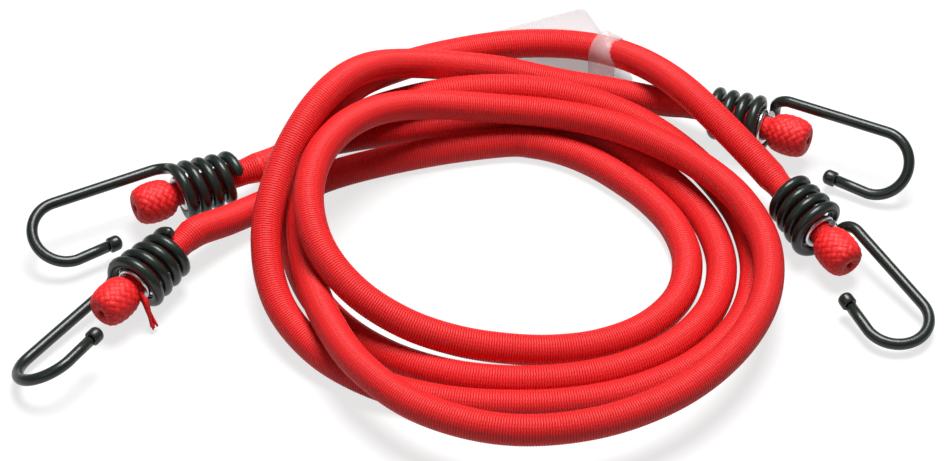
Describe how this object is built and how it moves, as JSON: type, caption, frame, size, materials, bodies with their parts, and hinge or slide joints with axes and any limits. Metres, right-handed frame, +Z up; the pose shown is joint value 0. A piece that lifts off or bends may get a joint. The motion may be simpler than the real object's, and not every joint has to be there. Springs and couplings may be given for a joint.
{
  "type": "elastic tie-down cord pair",
  "caption": "Fabric-sheathed elastic tie-down cords coiled together and laid flat, with a coated wire hook that swivels on each cord end and a bare film tag.",
  "frame": {"origin": "on the floor under the middle of the whole part's outline", "axes": "+Z up, +X to the right and +Y to the back as pictured"},
  "size_m": [0.2953, 0.229, 0.0441],
  "materials": {
    "sheath": "woven polyester sheath, fine cross ribs",
    "core": "natural rubber strands",
    "hook_wire": "gloss black coating on steel wire",
    "hook_cap": "gloss black vinyl",
    "crimp": "galvanised steel wire",
    "tag_film": "thin translucent film, bare"
  },
  "bodies": {
    "cords": {"cord_one_sheath": "sheath", "cord_one_core": "core", "cord_one_left_crimp": "crimp", "cord_one_right_crimp": "crimp", "cord_two_sheath": "sheath", "cord_two_core": "core", "cord_two_left_crimp": "crimp", "cord_two_right_crimp": "crimp", "hang_tag": "tag_film"},
    "hook_one_left": {"cord_one_left_hook": "hook_wire", "cord_one_left_hook_cap": "hook_cap"},
    "hook_one_right": {"cord_one_right_hook": "hook_wire", "cord_one_right_hook_cap": "hook_cap"},
    "hook_two_left": {"cord_two_left_hook": "hook_wire", "cord_two_left_hook_cap": "hook_cap"},
    "hook_two_right": {"cord_two_right_hook": "hook_wire", "cord_two_right_hook_cap": "hook_cap"}
  },
  "joints": [
    {"name": "hook_one_left_swivel", "type": "hinge", "parent": "cords", "child": "hook_one_left", "pos_m": [-0.11094, -0.0391, 0.011], "axis": [-0.6148, -0.7869, -0.0523], "continuous": true},
    {"name": "hook_one_right_swivel", "type": "hinge", "parent": "cords", "child": "hook_one_right", "pos_m": [0.11326, -0.0146, 0.011], "axis": [0.5393, -0.8305, -0.1392], "continuous": true},
    {"name": "hook_two_left_swivel", "type": "hinge", "parent": "cords", "child": "hook_two_left", "pos_m": [-0.09914, 0.0047, 0.011], "axis": [-0.891, -0.454, 0], "continuous": true},
    {"name": "hook_two_right_swivel", "type": "hinge", "parent": "cords", "child": "hook_two_right", "pos_m": [0.09816, 0.0379, 0.011], "axis": [0.8988, -0.4384, 0], "continuous": true}
  ]
}
